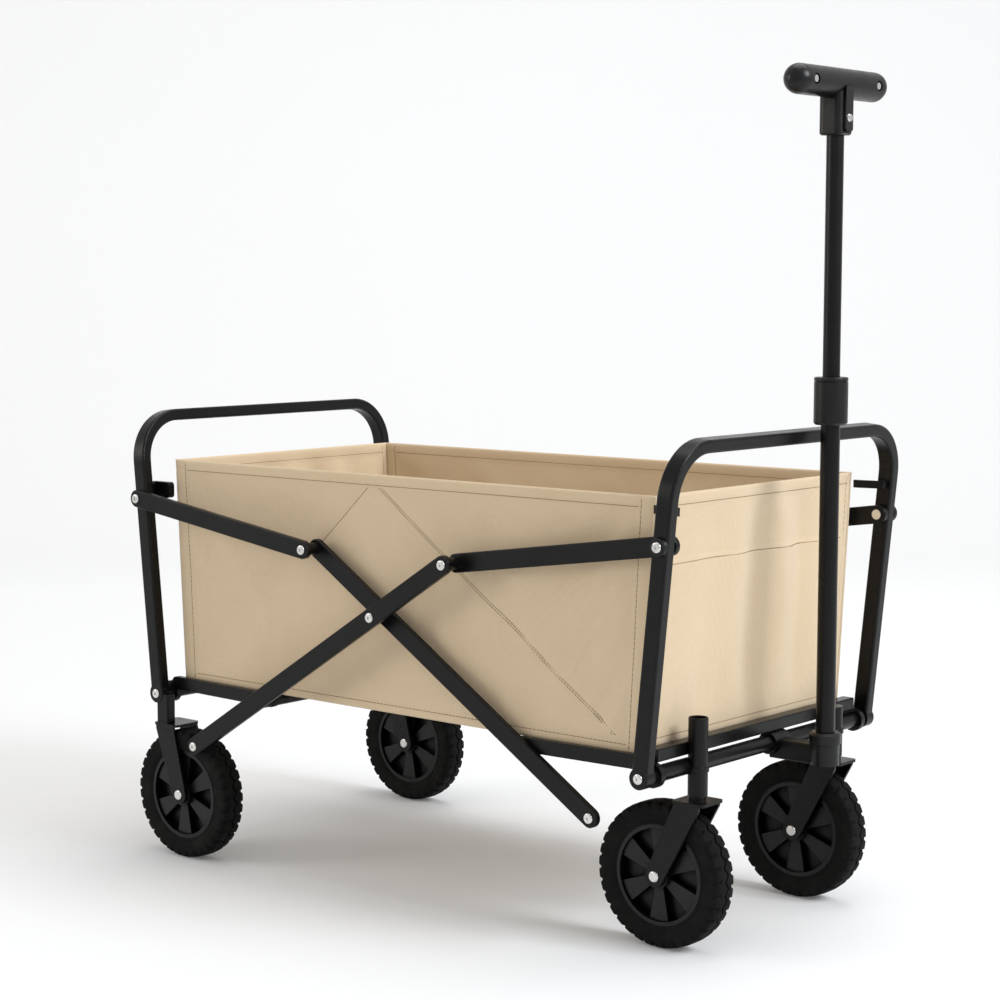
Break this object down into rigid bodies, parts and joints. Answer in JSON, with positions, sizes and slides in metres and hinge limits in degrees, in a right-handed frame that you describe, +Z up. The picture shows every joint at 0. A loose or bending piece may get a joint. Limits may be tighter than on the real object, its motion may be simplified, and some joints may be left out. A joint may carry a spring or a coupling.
{
  "type": "beach cart",
  "caption": "Folding beach cart: black scissor frame with inverted-U end hoops, fabric box bag, knobby wheels on fixed and caster forks, telescopic T-handle",
  "frame": {"origin": "on the ground, under the middle of the wheelbase and on the cart's middle plane", "axes": "+Z up, +X towards the pulling end with the handle, -Y the right side seen from behind"},
  "size_m": [0.9779, 0.5318, 1.0562],
  "materials": {
    "frame_black": "matte",
    "rivet_steel": "satin",
    "moulded_black": "matte",
    "tyre_black": "matte",
    "bag_fabric": "woven",
    "floor_board": "matte"
  },
  "bodies": {
    "rear_frame": {"rear_hoop": "frame_black", "rear_foot_tube": "frame_black", "rear_frame_rivets": "rivet_steel", "rear_corner_brackets": "frame_black", "rear_fork_right": "frame_black", "rear_fork_left": "frame_black", "rear_axle_right": "rivet_steel", "rear_axle_left": "rivet_steel", "bag_rear_panel": "bag_fabric", "bag_right_panel": "bag_fabric", "bag_left_panel": "bag_fabric"},
    "rear_floor": {"rear_floor_rails": "frame_black", "rear_knee_tube": "frame_black", "rear_floor_board": "floor_board"},
    "front_floor": {"front_floor_rails": "frame_black", "front_knee_tube": "frame_black", "front_floor_board": "floor_board"},
    "front_frame": {"front_hoop": "frame_black", "front_foot_tube": "frame_black", "front_cross_bar": "frame_black", "front_frame_rivets": "rivet_steel", "front_pivot_caps": "moulded_black", "front_corner_brackets": "frame_black", "caster_housing_right": "frame_black", "caster_housing_left": "frame_black", "handle_bracket": "moulded_black", "lower_pole": "frame_black", "bag_front_panel": "bag_fabric"},
    "outer_diagonal_right": {"outer_diagonal_right": "frame_black", "outer_diagonal_rivets_right": "rivet_steel"},
    "inner_diagonal_right": {"inner_diagonal_right": "frame_black", "inner_diagonal_rivet_right": "rivet_steel"},
    "outer_link_right": {"outer_link_right": "frame_black", "outer_link_rivet_right": "rivet_steel"},
    "inner_link_right": {"inner_link_right": "frame_black"},
    "caster_right": {"caster_fork_right": "frame_black", "front_axle_right": "rivet_steel"},
    "rear_wheel_right": {"rear_tyre_right": "tyre_black", "rear_rim_right": "moulded_black"},
    "front_wheel_right": {"front_tyre_right": "tyre_black", "front_rim_right": "moulded_black"},
    "outer_diagonal_left": {"outer_diagonal_left": "frame_black", "outer_diagonal_rivets_left": "rivet_steel"},
    "inner_diagonal_left": {"inner_diagonal_left": "frame_black", "inner_diagonal_rivet_left": "rivet_steel"},
    "outer_link_left": {"outer_link_left": "frame_black", "outer_link_rivet_left": "rivet_steel"},
    "inner_link_left": {"inner_link_left": "frame_black"},
    "caster_left": {"caster_fork_left": "frame_black", "front_axle_left": "rivet_steel"},
    "rear_wheel_left": {"rear_tyre_left": "tyre_black", "rear_rim_left": "moulded_black"},
    "front_wheel_left": {"front_tyre_left": "tyre_black", "front_rim_left": "moulded_black"},
    "twist_lock": {"twist_lock": "moulded_black"},
    "upper_handle": {"upper_pole": "frame_black", "grip_front_shell": "moulded_black", "grip_rear_shell": "moulded_black", "grip_screws": "rivet_steel"}
  },
  "joints": [
    {"name": "fold", "type": "hinge", "parent": "rear_frame", "child": "rear_floor", "pos_m": [-0.417, 0, 0.227], "axis": [0, -1, 0], "range_deg": [0, 69], "deforming": ["bag_right_panel", "bag_left_panel"]},
    {"name": "floor_hinge", "type": "hinge", "parent": "rear_floor", "child": "front_floor", "pos_m": [0, 0, 0.2456], "axis": [0, -1, 0], "range_deg": [-138.5, 0]},
    {"name": "front_foot", "type": "hinge", "parent": "front_floor", "child": "front_frame", "pos_m": [0.417, 0, 0.227], "axis": [0, -1, 0], "range_deg": [0, 69.5]},
    {"name": "rear_knee_right", "type": "hinge", "parent": "rear_floor", "child": "outer_diagonal_right", "pos_m": [-0.217, -0.259, 0.2376], "axis": [0, -1, 0], "range_deg": [-27.88, 0]},
    {"name": "crossing_right", "type": "hinge", "parent": "outer_diagonal_right", "child": "inner_diagonal_right", "pos_m": [0, -0.233, 0.376], "axis": [0, -1, 0], "range_deg": [-83.74, 0]},
    {"name": "rear_shoulder_right", "type": "hinge", "parent": "rear_frame", "child": "outer_link_right", "pos_m": [-0.444, -0.259, 0.5], "axis": [0, -1, 0], "range_deg": [0, 77.18]},
    {"name": "front_shoulder_right", "type": "hinge", "parent": "front_frame", "child": "inner_link_right", "pos_m": [0.444, -0.233, 0.5], "axis": [0, -1, 0], "range_deg": [-77.18, 0]},
    {"name": "rear_knee_left", "type": "hinge", "parent": "rear_floor", "child": "outer_diagonal_left", "pos_m": [-0.217, 0.259, 0.2376], "axis": [0, -1, 0], "range_deg": [-27.88, 0]},
    {"name": "crossing_left", "type": "hinge", "parent": "outer_diagonal_left", "child": "inner_diagonal_left", "pos_m": [0, 0.233, 0.376], "axis": [0, -1, 0], "range_deg": [-83.74, 0]},
    {"name": "rear_shoulder_left", "type": "hinge", "parent": "rear_frame", "child": "outer_link_left", "pos_m": [-0.444, 0.259, 0.5], "axis": [0, -1, 0], "range_deg": [0, 77.18]},
    {"name": "front_shoulder_left", "type": "hinge", "parent": "front_frame", "child": "inner_link_left", "pos_m": [0.444, 0.233, 0.5], "axis": [0, -1, 0], "range_deg": [-77.18, 0]},
    {"name": "caster_swivel_right", "type": "hinge", "parent": "front_frame", "child": "caster_right", "pos_m": [0.43, -0.152, 0.2], "axis": [0, 0, 1], "continuous": true},
    {"name": "front_wheel_spin_right", "type": "hinge", "parent": "caster_right", "child": "front_wheel_right", "pos_m": [0.384, -0.152, 0.09], "axis": [0, 1, 0], "continuous": true},
    {"name": "rear_wheel_spin_right", "type": "hinge", "parent": "rear_frame", "child": "rear_wheel_right", "pos_m": [-0.37, -0.234, 0.09], "axis": [0, 1, 0], "continuous": true},
    {"name": "caster_swivel_left", "type": "hinge", "parent": "front_frame", "child": "caster_left", "pos_m": [0.43, 0.152, 0.2], "axis": [0, 0, 1], "continuous": true},
    {"name": "front_wheel_spin_left", "type": "hinge", "parent": "caster_left", "child": "front_wheel_left", "pos_m": [0.384, 0.152, 0.09], "axis": [0, 1, 0], "continuous": true},
    {"name": "rear_wheel_spin_left", "type": "hinge", "parent": "rear_frame", "child": "rear_wheel_left", "pos_m": [-0.37, 0.234, 0.09], "axis": [0, 1, 0], "continuous": true},
    {"name": "twist_lock_turn", "type": "hinge", "parent": "front_frame", "child": "twist_lock", "pos_m": [0.49, 0.035, 0.655], "axis": [0, 0, 1], "range_deg": [0, 60]},
    {"name": "handle_slide", "type": "slide", "parent": "front_frame", "child": "upper_handle", "axis": [0, 0, 1], "range_m": [-0.28, 0]}
  ],
  "couplings": [
    {"joint": "floor_hinge", "follows": "fold", "ratio": -2},
    {"joint": "front_foot", "follows": "fold", "ratio": 1},
    {"joint": "rear_knee_right", "follows": "fold", "ratio": -0.39682},
    {"joint": "crossing_right", "follows": "fold", "ratio": -1.2064},
    {"joint": "rear_shoulder_right", "follows": "fold", "ratio": 1.1113},
    {"joint": "front_shoulder_right", "follows": "fold", "ratio": -1.1113},
    {"joint": "rear_knee_left", "follows": "fold", "ratio": -0.39682},
    {"joint": "crossing_left", "follows": "fold", "ratio": -1.2064},
    {"joint": "rear_shoulder_left", "follows": "fold", "ratio": 1.1113},
    {"joint": "front_shoulder_left", "follows": "fold", "ratio": -1.1113}
  ]
}
